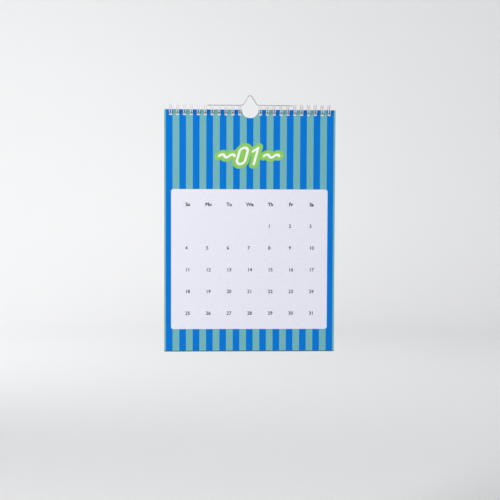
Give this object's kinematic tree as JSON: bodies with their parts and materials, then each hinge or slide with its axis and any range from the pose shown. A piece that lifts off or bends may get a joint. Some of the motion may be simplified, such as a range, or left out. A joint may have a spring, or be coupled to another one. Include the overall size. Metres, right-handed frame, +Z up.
{
  "type": "wall calendar",
  "caption": "Portrait wall calendar: a pad of striped month sheets and a backing board on white twin-loop wire, hung from a bent steel wire hanger.",
  "frame": {"origin": "the hook's seat: the underside of the hanger wire at the top of its peak", "axes": "+Z up, the printed front faces -Y, +X to the right seen from the front"},
  "size_m": [0.21, 0.0127, 0.3155],
  "materials": {
    "printed_paper": "smooth printed, blue and sage stripes round a pale panel",
    "grey_board": "uncoated solid greyboard",
    "white_wire": "white nylon-coated steel wire",
    "steel_wire": "bright drawn steel wire"
  },
  "bodies": {
    "hanger": {"hanger_wire": "steel_wire"},
    "binding": {"binding_wire_left": "white_wire", "binding_wire_right": "white_wire"},
    "pages": {"page_block": "printed_paper"},
    "board": {"backing_board": "grey_board"}
  },
  "joints": [
    {"name": "loops_swing", "type": "hinge", "parent": "hanger", "child": "binding", "pos_m": [0, 0, -0.01125], "axis": [1, 0, 0], "range_deg": [-180, 180]},
    {"name": "pages_lift", "type": "hinge", "parent": "binding", "child": "pages", "pos_m": [0, 0, -0.0159], "axis": [-1, 0, 0], "range_deg": [0, 120]},
    {"name": "board_turn", "type": "hinge", "parent": "binding", "child": "board", "pos_m": [0, 0, -0.0159], "axis": [1, 0, 0], "range_deg": [0, 90]}
  ]
}
